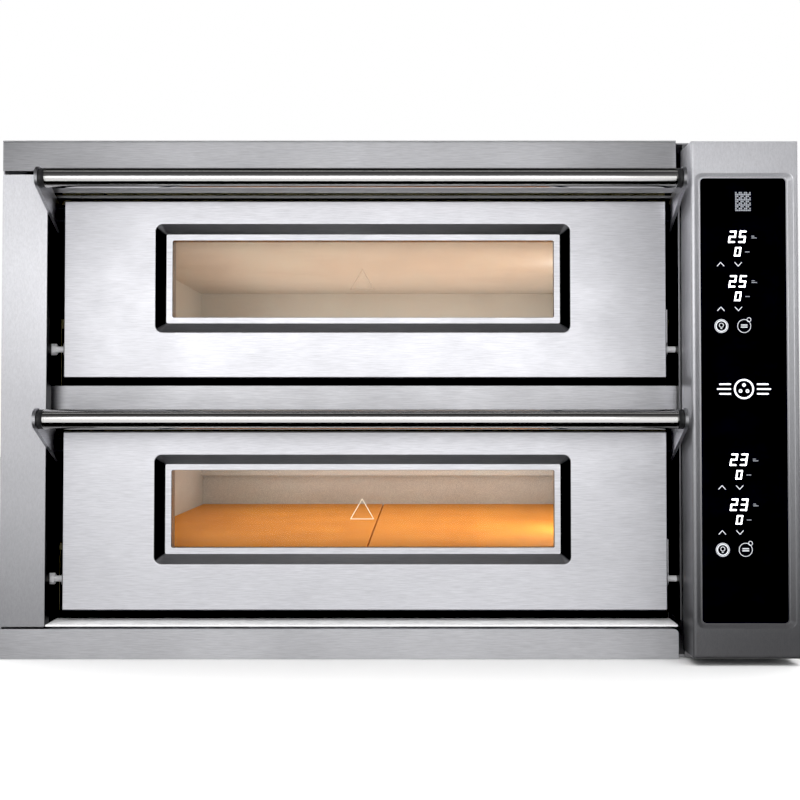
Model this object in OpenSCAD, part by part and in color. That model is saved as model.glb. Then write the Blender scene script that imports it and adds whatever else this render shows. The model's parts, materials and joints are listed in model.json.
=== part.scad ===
// Countertop double-deck electric pizza oven in brushed stainless steel.
// Millimetres. +Z is up, the front faces -Y, and the origin is the centre of the casing's base.
// Each deck has a bottom-hinged glazed door that swings forward and down on two side arms.

/* [Casing] */
// Width across the side panels
casing_w = 1010; // [1006:1:1020]
// Depth from the front fascia to the rear panel
casing_d = 850; // [846:1:870]
// Height from the base to the top cover
casing_h = 664; // [662:1:670]
// Thickness of the outer sheet steel
sheet_t = 2; // [1.5:0.1:2.2]
// Width of the left front pillar
pillar_w = 58; // [56:1:60]
// Height of the bottom fascia
plinth_h = 38; // [34:1:39]

/* [Control column] */
// Width of the control column
column_w = 135; // [133:1:136]
// How far the column's face stands in front of the fascia
column_proud = 40; // [30:1:45]
// Depth of the bevelled recess around the touch glass
column_recess = 5; // [4:0.5:6]
// Width of the touch glass
touch_w = 107; // [100:1:108]
// Height of the touch glass
touch_h = 555.5; // [540:0.5:556]

/* [Doors] */
// Width of a door
door_w = 785; // [783:1:786]
// Height of a door
door_h = 231; // [229:1:232]
// Thickness of a door
door_t = 50; // [46:1:50]
// How far a door's face sits behind the fascia
door_recess = 22; // [20:1:24]
// Height from one door's bottom edge to the next door's
deck_pitch = 301; // [300:1:303]
// Height of the lower door's bottom edge
lower_door_z = 58; // [57:1:60]

/* [Windows] */
// Width of the pressed recess around a window
window_w = 541; // [520:1:545]
// Height of the pressed recess around a window
window_h = 142; // [136:1:144]
// Width of the sloped side of the recess
bevel_w = 12.5; // [10:0.5:13]
// Depth of the recess
bevel_d = 10; // [8:0.5:11]
// Width of the flat lip around the glass
lip_w = 8; // [6:0.5:9]

/* [Handles and hinges] */
// Diameter of a handle tube
handle_d = 25; // [22:1:26]
// How far a handle's axis stands in front of the door's face
handle_reach = 65; // [60:1:68]
// Height of a handle's axis above the door's top edge
handle_rise = 16.5; // [15:0.5:17]
// Thickness of a door arm
arm_t = 4; // [3:0.5:4]
// Diameter of a pivot pin
pivot_d = 8; // [6:1:8]
// Height of the pivot above the door's bottom edge
pivot_up = 38; // [37:1:40]
// Distance of the pivot behind the door's face
pivot_back = 20; // [19:1:22]

/* [Baking chambers] */
// Width inside a chamber
chamber_w = 720; // [700:1:724]
// Height from the stones to the chamber's roof
chamber_h = 140; // [130:1:141]
// Thickness of a baking stone
stone_t = 17; // [14:1:18]
// Height of the stones above the door's bottom edge
stone_up = 73.5; // [73:0.5:75]

/* [Services] */
// Outside diameter of a flue spigot
flue_d = 60; // [54:1:64]
// Side of the square cooling fan
fan_w = 92; // [80:1:92]
// Bore of the cable gland
gland_bore = 18; // [14:1:18]

/* [Hidden] */
$fn = 48;

steel = "gainsboro";
dark_steel = "dimgray";
liner_steel = "tan";
wool = "khaki";

// Small clearances
fit = 0.5;
cut = 1;
running = 0.05;

// Casing planes
left_x = -casing_w / 2;
right_x = casing_w / 2;
front_y = -casing_d / 2;
rear_y = casing_d / 2;
pillar_x = left_x + pillar_w;
column_x = right_x - column_w;
fascia_end_x = column_x - 9;
pillar_bottom = plinth_h + 2.5;
pillar_top = casing_h - 44;
top_fascia_z = casing_h - 39.5;

// Door planes
door_y = front_y + door_recess;
door_back = door_y + door_t;
door_x = pillar_x + 14.5;
door_end_x = door_x + door_w;
deck_x = door_x + door_w / 2;
decks = [lower_door_z, lower_door_z + deck_pitch];
pan_t = 1.5;
pan_depth = 24;
window_x = door_x + 119;
window_up = 59;
glass_t = 4;

// Arms, pivots and handles
left_arm_x = pillar_x + 1;
right_arm_x = column_x - 12;
pivot_y = door_y + pivot_back;
pivot_r = pivot_d / 2;
bush_r = pivot_r + 2;
handle_y = door_y - handle_reach;
spacer_t = 7;
stud_r = 3;
shoulder_r = 5;
thread_l = 8;
arm_back = 14;
arm_tip_up = door_h - 40;
arm_stud_y = door_y + 7;
arm_stud_ups = [door_h - 25, door_h - 9];
lug_r = 10;
lug_front = 6;
lug_top_up = 90;
lug_stud_ups = [60, 80];
lug_xs = [door_x - arm_t, door_end_x];
left_jamb_x = pillar_x - 12;
right_jamb_x = column_x - 2;
jamb_t = 3;

// Chambers
chamber_x = deck_x - chamber_w / 2;
chamber_end_x = deck_x + chamber_w / 2;
mouth_y = door_back + 1;
mouth_t = 8;
liner_y = mouth_y + mouth_t + fit;
sill_y = door_y + 73;
liner_back = rear_y - 48;
liner_t = 1.5;
roof_up = stone_up + chamber_h;
pan_up = stone_up - stone_t - 28;
post_up = 81;

// Electrics bay
partition_x = column_x - 1;
bay_x = partition_x + sheet_t;
bay_front_y = front_y + 13;
bay_mid_x = (bay_x + right_x - sheet_t) / 2;
inner_part_x = bay_x + 24;
board_t = 1.6;
column_z = 8.5;
column_top = casing_h - 10;
column_y = front_y - column_proud;

// Heating rods lie across each chamber as hairpins, above and below the stones
rod_r = 4;
rod_ys = [for (i = [0:5]) sill_y + 70 + i * 110];
rod_end_x = bay_x + 18;
rod_left_x = chamber_x + 35 + 55;
floor_rod_up = stone_up - stone_t - 13;
roof_rod_up = roof_up - 12;

// A radiant roof hides the upper rods, and a full-width plate shields the flue's mouth
radiant_up = roof_up - 24;
shield_y = liner_back - 22;
shield_up = stone_up + 58;

// Lamps are set in each chamber's right wall
lamp_y = door_y + 285;
lamp_up = stone_up + 80;
lamp_r = 28;
lamp_wall = 2;

flue_r = flue_d / 2;
flue_wall = 1.5;
flue_up = stone_up + 105;
flue_end = rear_y + 58;
pipe_y = rear_y + 26;
collar_t = 2;
collar_w = 10;
damper_y = rear_y + 12;
spindle_r = 4;

fan_z = 330;
fan_t = 25;
fan_y = rear_y - sheet_t - fan_t;
fan_shaft_r = 2.5;
fan_seat_r = 19;
fan_seat_t = 6;
fan_hub_end = 22;
gland_z = 60;

// Touch glass and the recess round it
recess_a = [column_x + 5, column_z + 37.8];
recess_b = [right_x - 7, column_top - 40.6];
recess_slope = 6.5;
touch_x = (recess_a.x + recess_b.x - touch_w) / 2;
touch_z = (recess_a.y + recess_b.y - touch_h) / 2;
touch_glass_y = column_y + column_recess;
touch_t = 4;

// Folded lips, frame posts, bolts and screws
lip_d = 27;
lip_x = left_x + sheet_t + fit;
post_w = 18;
base_bolt_x = 470;
base_bolt_y = 380;
base_bolt_r = 5;
foot_t = 3;
screw_r = 2;
side_screws = [for (y = [-360, -120, 120, 360], z = [20, 640]) [y, z]];
rear_screws = [for (x = [left_x + 20, -260, 240, right_x - 20], z = [20, 330, 640]) [x, z]];

// A block given by its two opposite corners
module block(a, b) {
    translate(a) cube(b - a);
}

// A round bar or disc along X, Y or Z
module rod_x(x0, x1, y, z, r) {
    translate([x0, y, z]) rotate([0, 90, 0]) cylinder(h = x1 - x0, r = r);
}
module rod_y(x, y0, y1, z, r) {
    translate([x, y0, z]) rotate([-90, 0, 0]) cylinder(h = y1 - y0, r = r);
}
module rod_z(x, y, z0, z1, r) {
    translate([x, y, z0]) cylinder(h = z1 - z0, r = r);
}

// An outline drawn in (y, z), extruded along X
module along_x(x0, x1) {
    translate([x0, 0, 0]) rotate([90, 0, 90]) linear_extrude(x1 - x0) children();
}
// An outline drawn in (x, y), extruded along Z
module along_z(z0, z1) {
    translate([0, 0, z0]) linear_extrude(z1 - z0) children();
}
// An outline drawn in (x, z), extruded along Y
module along_y(y0, y1) {
    translate([0, y1, 0]) rotate([90, 0, 0]) linear_extrude(y1 - y0) children();
}

// A rectangle from one corner to the other with round corners of radius r
module round_rect(a, b, r) {
    translate(a + [r, 0]) square([b.x - a.x - 2 * r, b.y - a.y]);
    translate(a + [0, r]) square([b.x - a.x, b.y - a.y - 2 * r]);
    for (x = [a.x + r, b.x - r], y = [a.y + r, b.y - r]) translate([x, y]) circle(r);
}

// A recess whose rectangular mouth at y0 narrows by slope all round down to depth
module bevelled_recess(a, b, y0, depth, slope) {
    intersection() {
        along_z(a.y - cut, b.y + cut) polygon([
            [a.x, y0], [b.x, y0], [b.x - slope, y0 + depth], [a.x + slope, y0 + depth]
        ]);
        along_x(a.x - cut, b.x + cut) polygon([
            [y0, a.y], [y0, b.y], [y0 + depth, b.y - slope], [y0 + depth, a.y + slope]
        ]);
    }
}

// A row of upright vent slots in a panel that faces X
module side_vents(x0, x1, y_first, z0, count) {
    for (i = [0:count - 1]) block([x0, y_first + i * 14, z0], [x1, y_first + i * 14 + 5, z0 + 60]);
}

// ---------- casing ----------

module base_tray() {
    color(steel) difference() {
        block([left_x + sheet_t, front_y + sheet_t, 0], [right_x - sheet_t, rear_y - sheet_t, foot_t]);
        block([fascia_end_x, front_y, -cut], [right_x, bay_front_y + sheet_t, foot_t + cut]);
        for (x = [-1, 1] * base_bolt_x, y = [-1, 1] * base_bolt_y)
            rod_z(x, y, -cut, foot_t + cut, base_bolt_r);
    }
}

// Tongues above and below the pillar close the corner behind the fascias
module left_side_panel() {
    edge_y = front_y + 20;
    tongue_y = front_y + sheet_t + fit;
    color(steel) difference() {
        union() {
            block([left_x, edge_y, 0], [left_x + sheet_t, rear_y, casing_h - sheet_t]);
            block([left_x, tongue_y, 0], [left_x + sheet_t, edge_y + cut, pillar_bottom - fit]);
            block([left_x, tongue_y, pillar_top + fit],
                  [left_x + sheet_t, edge_y + cut, casing_h - sheet_t]);
        }
        side_screw_holes(left_x - cut, left_x + sheet_t + cut);
    }
}

module right_side_panel() {
    color(steel) difference() {
        block([right_x - sheet_t, bay_front_y, 0], [right_x, rear_y, casing_h - sheet_t]);
        for (z = [110, 190, 440, 520])
            side_vents(right_x - sheet_t - cut, right_x + cut, -120, z, 18);
        side_screw_holes(right_x - sheet_t - cut, right_x + cut);
    }
}

module top_cover() {
    color(steel) difference() {
        block([left_x, front_y, casing_h - sheet_t], [right_x, rear_y, casing_h]);
        block([fascia_end_x, front_y - cut, casing_h - sheet_t - cut],
              [right_x + cut, bay_front_y, casing_h + cut]);
    }
}

module rear_panel() {
    color(steel) difference() {
        block([left_x + sheet_t, rear_y - sheet_t, 0], [right_x - sheet_t, rear_y, casing_h - sheet_t]);
        for (z = decks) rod_y(deck_x, rear_y - sheet_t - cut, rear_y + cut, z + flue_up, flue_r);
        rod_y(bay_mid_x, rear_y - sheet_t - cut, rear_y + cut, gland_z, gland_bore / 2 + 5);
        for (i = [-4:4]) block([bay_mid_x - 38, rear_y - sheet_t - cut, fan_z + i * 9 - 2],
                               [bay_mid_x + 38, rear_y + cut, fan_z + i * 9 + 2]);
        for (p = rear_screws) rod_y(p.x, rear_y - sheet_t - cut, rear_y + cut, p.y, screw_r);
    }
}

// The top fascia folds back along its bottom edge and down its right end
module top_fascia() {
    color(steel) {
        block([left_x, front_y, top_fascia_z], [fascia_end_x, front_y + sheet_t, casing_h - sheet_t]);
        block([lip_x, front_y + sheet_t, top_fascia_z],
              [fascia_end_x, front_y + lip_d, top_fascia_z + sheet_t]);
        block([fascia_end_x - sheet_t, front_y + sheet_t, top_fascia_z + sheet_t],
              [fascia_end_x, front_y + lip_d, casing_h - sheet_t]);
    }
}

// Behind and below the top fascia: a header plate, and a baffle strip with two clips
module upper_header() {
    header_y = door_y + 5;
    top = decks[1] + door_h;
    color(steel) block([left_jamb_x, header_y, top + 11.5], [right_jamb_x, header_y + pan_t, top_fascia_z]);
    color(dark_steel) {
        block([left_jamb_x, header_y, top + 4.5], [right_jamb_x, header_y + 17, top + 8]);
        for (x = [door_x, door_end_x - 22])
            block([x, header_y - 2, top + 4.5], [x + 20, header_y, top + 7]);
    }
}

module middle_fascia() {
    fascia_y = door_y + 10;
    z0 = decks[0] + door_h + 5;
    z1 = decks[1] - 10;
    color(steel) along_x(left_jamb_x, right_jamb_x) polygon([
        [fascia_y, z0], [fascia_y + 35, z0], [fascia_y + 35, z0 + pan_t], [fascia_y + pan_t, z0 + pan_t],
        [fascia_y + pan_t, z1 - pan_t], [sill_y - fit, z1 - pan_t], [sill_y - fit, z1], [fascia_y, z1]
    ]);
}

module bottom_fascia() {
    corner_r = 6;
    color(steel) {
        along_y(front_y, front_y + sheet_t) difference() {
            translate([left_x, 0]) square([fascia_end_x - left_x, plinth_h]);
            translate([fascia_end_x - corner_r, plinth_h - corner_r]) difference() {
                square(corner_r + cut);
                circle(corner_r);
            }
        }
        block([lip_x, front_y + sheet_t, plinth_h - sheet_t],
              [fascia_end_x - corner_r, front_y + lip_d, plinth_h]);
    }
}

module drip_ledge() {
    ledge_z = plinth_h + 3;
    ledge_t = 2.5;
    color(steel) block([pillar_x + 1, front_y, ledge_z],
                       [fascia_end_x - 1, door_y + pan_depth, ledge_z + ledge_t]);
}

module left_pillar() {
    back_y = front_y + 19;
    color(steel) along_z(pillar_bottom, pillar_top) polygon([
        [left_x, front_y], [pillar_x, front_y], [pillar_x, back_y], [pillar_x - sheet_t, back_y],
        [pillar_x - sheet_t, front_y + sheet_t], [left_x + sheet_t, front_y + sheet_t],
        [left_x + sheet_t, back_y], [left_x, back_y]
    ]);
}

// Upright plates that carry the door pivots, one each side of the doors
module hinge_jambs() {
    color(steel) difference() {
        union() {
            block([left_jamb_x - jamb_t, front_y + 5, plinth_h + 7],
                  [left_jamb_x, sill_y + 1, top_fascia_z - 2]);
            block([right_jamb_x, door_y, plinth_h + 7],
                  [right_jamb_x + jamb_t, sill_y + 1, top_fascia_z - 2]);
        }
        for (z = decks) {
            rod_x(left_jamb_x - jamb_t - cut, left_jamb_x + cut, pivot_y, z + pivot_up, pivot_r);
            rod_x(right_jamb_x - cut, right_jamb_x + jamb_t + cut, pivot_y, z + pivot_up, pivot_r);
        }
    }
}

module frame_posts() {
    wall = 2;
    post_x = right_x - sheet_t - post_w - 1;
    back_post_y = rear_y - sheet_t - post_w - 1;
    posts = [
        [left_x + sheet_t + 1, front_y + lip_d + 1], [left_x + sheet_t + 1, back_post_y],
        [post_x, bay_front_y + sheet_t + 1], [post_x, back_post_y]
    ];
    color(dark_steel) for (p = posts) difference() {
        block([p.x, p.y, foot_t], [p.x + post_w, p.y + post_w, casing_h - sheet_t]);
        block([p.x + wall, p.y + wall, foot_t - cut],
              [p.x + post_w - wall, p.y + post_w - wall, casing_h]);
    }
}

// ---------- control column and electrics bay ----------

module column_outline(inset) {
    r = 5 - inset;
    a = [column_x + inset, column_y + inset];
    b = [right_x - inset, bay_front_y + 2 * inset];
    intersection() {
        along_z(column_z + inset, column_top - inset) union() {
            round_rect(a, b, r);
            translate([a.x, a.y + 2 * r]) square([b.x - a.x, b.y - a.y - 2 * r]);
        }
        along_x(column_x, right_x) union() {
            round_rect([a.y, column_z + inset], [b.y, column_top - inset], r);
            translate([a.y + 2 * r, column_z + inset])
                square([b.y - a.y - 2 * r, column_top - column_z - 2 * inset]);
        }
    }
}

module control_column() {
    color(steel) difference() {
        union() {
            difference() {
                column_outline(0);
                column_outline(sheet_t);
            }
            block([recess_a.x - 1, column_y + 1, recess_a.y - 1],
                  [recess_b.x + 1, touch_glass_y + 1, recess_b.y + 1]);
        }
        bevelled_recess(recess_a, recess_b, column_y, column_recess, recess_slope);
        block([touch_x, column_y, touch_z], [touch_x + touch_w, touch_glass_y + 1 + cut, touch_z + touch_h]);
    }
}

module touch_glass() {
    color("black") along_y(touch_glass_y, touch_glass_y + touch_t)
        round_rect([touch_x, touch_z], [touch_x + touch_w, touch_z + touch_h], 5);
}

module display_board() {
    board_y = touch_glass_y + touch_t + 2;
    readout_zs = [146, 186, 405, 450];
    readout_w = 40;
    readout_h = 22;
    color("darkgreen") block([touch_x + 5, board_y, touch_z + 10],
                             [touch_x + touch_w - 5, board_y + board_t, touch_z + touch_h - 10]);
    color("black") for (z = readout_zs)
        block([bay_mid_x - readout_w / 2, board_y + board_t, z],
              [bay_mid_x + readout_w / 2, board_y + 12, z + readout_h]);
}

// The wall between the chambers and the electrics, and the plate behind the control column
module bay_partition() {
    color(steel) {
        difference() {
            block([partition_x, sill_y + 2, foot_t], [bay_x, rear_y - sheet_t, casing_h - sheet_t]);
            rod_holes(partition_x - cut, bay_x + cut);
            for (z = decks) rod_x(partition_x - cut, bay_x + cut, lamp_y, z + lamp_up, 5);
        }
        block([column_x + sheet_t, bay_front_y, 0],
              [right_x - sheet_t - 0.1, bay_front_y + sheet_t, casing_h - sheet_t]);
    }
}

// Board with its capacitors, clear of the rods' ends
module power_board() {
    board_y = -100;
    board_z = 240;
    board_w = 160;
    board_h = 200;
    cap_w = 30;
    cap_h = 40;
    color("darkgreen") block([inner_part_x, board_y, board_z],
                             [inner_part_x + board_t, board_y + board_w, board_z + board_h]);
    color("black") for (i = [0:2], j = [0, 1])
        translate([inner_part_x + board_t, board_y + 20 + i * 50, board_z + 20 + j * 80])
            cube([cap_w, cap_w, cap_h]);
}

// Solid-state relays above a finned heat sink
module power_relays() {
    plate_t = 8;
    fin_h = 24;
    fin_t = 2;
    fin_pitch = 16;
    sink_y = -90;
    sink_z = 470;
    sink_w = 220;
    sink_h = 100;
    relay = [28, 45, 50];
    relay_pitch = 56;
    color("silver") {
        block([inner_part_x, sink_y, sink_z], [inner_part_x + plate_t, sink_y + sink_w, sink_z + sink_h]);
        for (i = [0:13]) translate([inner_part_x + plate_t, sink_y + fin_t + i * fin_pitch, sink_z])
            cube([fin_h, fin_t, sink_h]);
    }
    color("ivory") for (i = [0:3])
        translate([inner_part_x, sink_y + 5 + i * relay_pitch, sink_z + sink_h + 10]) cube(relay);
}

module terminal_block() {
    size = [90, 26, 30];
    base = [bay_mid_x - size.x / 2, 300, 45];
    way_pitch = 17;
    way_r = 3;
    way_depth = 20;
    color("ivory") difference() {
        translate(base) cube(size);
        for (i = [-2:2]) rod_z(bay_mid_x + i * way_pitch, base.y + size.y / 2,
                               base.z + size.z - way_depth, base.z + size.z + cut, way_r);
    }
}

// Square frame with four struts, the motor's seat and its shaft
module fan_frame() {
    half = fan_w / 2;
    strut_w = 4;
    color("black") {
        difference() {
            block([bay_mid_x - half, fan_y, fan_z - half], [bay_mid_x + half, fan_y + fan_t, fan_z + half]);
            rod_y(bay_mid_x, fan_y - cut, fan_y + fan_t + cut, fan_z, half - 3);
        }
        for (a = [45:90:315]) translate([bay_mid_x, 0, fan_z]) rotate([0, a, 0])
            block([fan_seat_r - 4, fan_y, -strut_w / 2], [half - 1, fan_y + strut_w, strut_w / 2]);
        rod_y(bay_mid_x, fan_y, fan_y + fan_seat_t, fan_z, fan_seat_r);
        rod_y(bay_mid_x, fan_y + fan_seat_t, fan_y + fan_hub_end - 4, fan_z, fan_shaft_r);
    }
}

// Hub with seven pitched blades, drawn from the fan's front face
module fan_rotor() {
    blade_r = fan_w / 2 - 5;
    blade_t = 1.6;
    blade_w = 34;
    blade_root = 12;
    pitch = 32;
    hub_y = fan_seat_t + 1;
    color("dimgray") translate([bay_mid_x, fan_y, fan_z]) difference() {
        union() {
            rod_y(0, hub_y, fan_hub_end, 0, fan_seat_r - 1);
            for (a = [0:360 / 7:359]) rotate([0, a, 0]) intersection() {
                rotate([pitch, 0, 0]) translate([blade_root, 10, -14]) cube([blade_r, blade_t, blade_w]);
                rod_y(0, hub_y + 1, fan_hub_end, 0, blade_r);
            }
        }
        rod_y(0, hub_y - cut, fan_hub_end - 3, 0, fan_shaft_r + running);
    }
}

// Threaded body with a nut each side of the rear panel and a clamping dome
module cable_gland() {
    bore_r = gland_bore / 2;
    inner_y = rear_y - 12;
    outer_y = rear_y + 22;
    body_r = bore_r + 5;
    dome_r = bore_r + 7;
    nut_r = bore_r + 9;
    color("black") difference() {
        union() {
            rod_y(bay_mid_x, inner_y, outer_y, gland_z, body_r);
            translate([bay_mid_x, rear_y + 5, gland_z]) rotate([90, 0, 0])
                cylinder(h = 5, r = nut_r, $fn = 6);
            translate([bay_mid_x, rear_y - sheet_t, gland_z]) rotate([90, 0, 0])
                cylinder(h = 6, r = nut_r, $fn = 6);
            rod_y(bay_mid_x, rear_y + 8, outer_y, gland_z, dome_r);
        }
        rod_y(bay_mid_x, inner_y - cut, outer_y + cut, gland_z, bore_r);
    }
}

// ---------- flues ----------

// Tubes with a full-size end for a pipe, drawn in a little up to the damper and through the casing
module flue_spigots() {
    color(steel) for (z = decks) difference() {
        union() {
            rod_y(deck_x, liner_back + liner_t, flue_end, z + flue_up, flue_r - fit);
            rod_y(deck_x, pipe_y, flue_end, z + flue_up, flue_r);
        }
        rod_y(deck_x, liner_back, flue_end + cut, z + flue_up, flue_r - flue_wall);
        rod_x(deck_x - flue_r - cut, deck_x + flue_r + cut, damper_y, z + flue_up, spindle_r + running);
    }
}

module flue_collars() {
    color(steel) for (z = decks) difference() {
        rod_y(deck_x, rear_y, rear_y + collar_t, z + flue_up, flue_r + collar_w);
        rod_y(deck_x, rear_y - cut, rear_y + collar_t + cut, z + flue_up, flue_r - fit);
    }
}

// A butterfly disc welded through its spindle, with a lever and knob on the spindle's end
module damper(z) {
    lever_x = deck_x + flue_r + 6;
    lever_t = 4;
    lever_w = 10;
    lever_l = 48;
    knob_up = 42;
    knob_l = 22;
    disc_r = flue_r - flue_wall - 1;
    disc_t = 2;
    color(dark_steel) {
        rod_x(deck_x - flue_r - 5, lever_x + 2, damper_y, z, spindle_r);
        block([lever_x, damper_y - lever_w / 2, z + 3],
              [lever_x + lever_t, damper_y + lever_w / 2, z + lever_l]);
        rod_x(lever_x, lever_x + lever_t, damper_y, z, lever_w / 2 + 4);
        rod_x(lever_x + 2, lever_x + 2 + knob_l, damper_y, z + knob_up, 4);
    }
    color(steel) rod_y(deck_x, damper_y - disc_t / 2, damper_y + disc_t / 2, z, disc_r);
}
module upper_damper() {
    damper(decks[1] + flue_up);
}
module lower_damper() {
    damper(decks[0] + flue_up);
}

// ---------- baking chambers ----------

// Clearance holes for the heating rods' cold ends
module rod_holes(x0, x1) {
    for (z = decks, up = [floor_rod_up, roof_rod_up], y = rod_ys) rod_x(x0, x1, y, z + up, rod_r + 0.5);
}

module lamp_holes(x0, x1) {
    for (z = decks) rod_x(x0, x1, lamp_y, z + lamp_up, lamp_r + fit);
}

// Plates with expansion gaps: sides, back, roof, element pan, radiant roof, its lip and the flue shield
module chamber_liner(z) {
    side = [
        [liner_y, z + post_up], [sill_y + 2, z + post_up], [sill_y + 2, z + pan_up],
        [liner_back, z + pan_up], [liner_back, z + roof_up], [liner_y, z + roof_up]
    ];
    color(liner_steel) {
        along_x(chamber_x - liner_t, chamber_x) polygon(side);
        difference() {
            along_x(chamber_end_x, chamber_end_x + liner_t) polygon(side);
            rod_holes(chamber_end_x - cut, chamber_end_x + liner_t + cut);
            lamp_holes(chamber_end_x - cut, chamber_end_x + liner_t + cut);
        }
        difference() {
            block([chamber_x + fit, liner_back - liner_t, z + pan_up],
                  [chamber_end_x - fit, liner_back, z + roof_up]);
            rod_y(deck_x, liner_back - liner_t - cut, liner_back + cut, z + flue_up, flue_r - flue_wall);
        }
        block([chamber_x, liner_y, z + roof_up + fit],
              [chamber_end_x, liner_back, z + roof_up + fit + liner_t]);
        block([chamber_x, sill_y + 2, z + pan_up - fit - liner_t],
              [chamber_end_x, liner_back, z + pan_up - fit]);
        block([chamber_x, liner_y, z + radiant_up],
              [chamber_end_x, shield_y - fit, z + radiant_up + liner_t]);
        block([chamber_x, liner_y, z + radiant_up + liner_t],
              [chamber_end_x, liner_y + liner_t, z + roof_up]);
        block([chamber_x, shield_y, z + shield_up], [chamber_end_x, shield_y + liner_t, z + roof_up]);
    }
}
module lower_chamber_liner() {
    chamber_liner(decks[0]);
}
module upper_chamber_liner() {
    chamber_liner(decks[1]);
}

// Round each mouth: two posts, a lintel, a sill below the stones and the bulkhead under it,
// with a wider kick plate at the foot of the lower one
module mouth_frames() {
    kick_top = plinth_h + 6.5;
    kick_t = 1.5;
    color(steel) for (z = decks) {
        lintel_top = z + door_h - 2;
        block([left_jamb_x + 1, mouth_y, z + post_up], [chamber_x, mouth_y + mouth_t, lintel_top]);
        block([chamber_end_x, mouth_y, z + post_up], [right_jamb_x - 1, mouth_y + mouth_t, lintel_top]);
        block([chamber_x + fit, mouth_y, z + roof_up],
              [chamber_end_x - fit, mouth_y + mouth_t, lintel_top]);
        block([chamber_x, sill_y - 15, z + stone_up - 3.5], [chamber_end_x, sill_y + 4, z + stone_up - 2]);
        block([left_jamb_x + 1, sill_y, z == decks[0] ? kick_top : z - 10],
              [right_jamb_x - 1, sill_y + kick_t, z + stone_up - 4]);
    }
    color(steel) block([left_jamb_x - 20, sill_y, foot_t], [right_jamb_x - 1, sill_y + kick_t, kick_top]);
}

module baking_stones() {
    color("sandybrown") for (z = decks, x = [chamber_x + 1, deck_x + 1])
        block([x, sill_y + 5, z + stone_up - stone_t],
              [x + chamber_w / 2 - 2, liner_back - 3, z + stone_up]);
}

// One hairpin: two straight rods joined by a half ring at the chamber's left side
module hairpin(y0, z) {
    bend_r = (rod_ys[1] - rod_ys[0]) / 2;
    for (y = [y0, y0 + 2 * bend_r]) rod_x(rod_left_x, rod_end_x, y, z, rod_r);
    translate([rod_left_x, y0 + bend_r, z]) rotate([0, 0, 90])
        rotate_extrude(angle = 180) translate([bend_r, 0]) circle(rod_r);
}

module heating_elements() {
    color("slategray") for (z = decks, up = [floor_rod_up, roof_rod_up], i = [0, 2, 4])
        hairpin(rod_ys[i], z + up);
}

module lamp_housings() {
    cup_x = chamber_end_x - lamp_wall;
    cup_end_x = partition_x - 8;
    color(dark_steel) for (z = decks) difference() {
        rod_x(cup_x, cup_end_x, lamp_y, z + lamp_up, lamp_r);
        rod_x(cup_x - cut, cup_end_x - lamp_wall, lamp_y, z + lamp_up, lamp_r - lamp_wall);
        rod_x(cup_end_x - lamp_wall - cut, cup_end_x + cut, lamp_y, z + lamp_up, 4);
    }
}

module lamp_lenses() {
    color("lightyellow", 0.6) for (z = decks)
        rod_x(chamber_end_x - lamp_wall, chamber_end_x + lamp_wall, lamp_y, z + lamp_up, lamp_r - lamp_wall);
}

module lamp_bulbs() {
    bulb_r = 6.5;
    bulb_x = chamber_end_x + 12;
    bulb_l = 18;
    color("lightyellow") for (z = decks) {
        rod_x(bulb_x, bulb_x + bulb_l, lamp_y, z + lamp_up, bulb_r);
        translate([bulb_x, lamp_y, z + lamp_up]) sphere(bulb_r);
    }
}

// Mineral wool slabs: floor, between the decks, top, both sides and rear
module cabinet_insulation() {
    slab_y = sill_y + 4;
    levels = [
        [foot_t + 1, decks[0] + pan_up - 4],
        [decks[0] + roof_up + 4, decks[1] + pan_up - 4],
        [decks[1] + roof_up + 4, casing_h - sheet_t - 1]
    ];
    color(wool) {
        for (l = levels) block([chamber_x - 1, slab_y, l[0]], [chamber_end_x + 1, liner_back - 1, l[1]]);
        block([left_jamb_x - 8, slab_y, foot_t + 1], [chamber_x - 3, liner_back - 1, casing_h - sheet_t - 1]);
        difference() {
            block([chamber_end_x + 3, slab_y, foot_t + 1],
                  [partition_x - 1, liner_back - 1, casing_h - sheet_t - 1]);
            rod_holes(chamber_end_x, partition_x);
            lamp_holes(chamber_end_x, partition_x);
        }
        difference() {
            block([left_jamb_x - 8, liner_back + 3, foot_t + 1],
                  [partition_x - 1, rear_y - sheet_t - 1, casing_h - sheet_t - 1]);
            for (z = decks) rod_y(deck_x, liner_back, rear_y, z + flue_up, flue_r + fit);
        }
    }
}

// ---------- pivots and screws ----------

// Left: a bolt with a washer and nut on the jamb. Right: a plain headed pin.
module pivot_pins() {
    hex_r = 7.5;
    bolt_head = 5;
    washer_t = 2;
    nut_x = left_jamb_x + washer_t;
    nut_t = 10;
    tip_gap = 0.5;
    pin_head = 3;
    color("silver") for (z = decks) {
        pz = z + pivot_up;
        rod_x(left_jamb_x - jamb_t, door_x - tip_gap, pivot_y, pz, pivot_r);
        translate([left_jamb_x - jamb_t - bolt_head, pivot_y, pz]) rotate([0, 90, 0])
            cylinder(h = bolt_head, r = hex_r, $fn = 6);
        rod_x(left_jamb_x, nut_x, pivot_y, pz, hex_r + 1);
        translate([nut_x, pivot_y, pz]) rotate([0, 90, 0])
            cylinder(h = nut_t, r = hex_r, $fn = 6);
        rod_x(door_end_x + tip_gap, right_jamb_x + jamb_t, pivot_y, pz, pivot_r);
        rod_x(right_jamb_x + jamb_t, right_jamb_x + jamb_t + pin_head, pivot_y, pz, hex_r - 0.5);
    }
}

module side_screw_holes(x0, x1) {
    for (p = side_screws) rod_x(x0, x1, p.x, p.y, screw_r);
}

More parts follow.
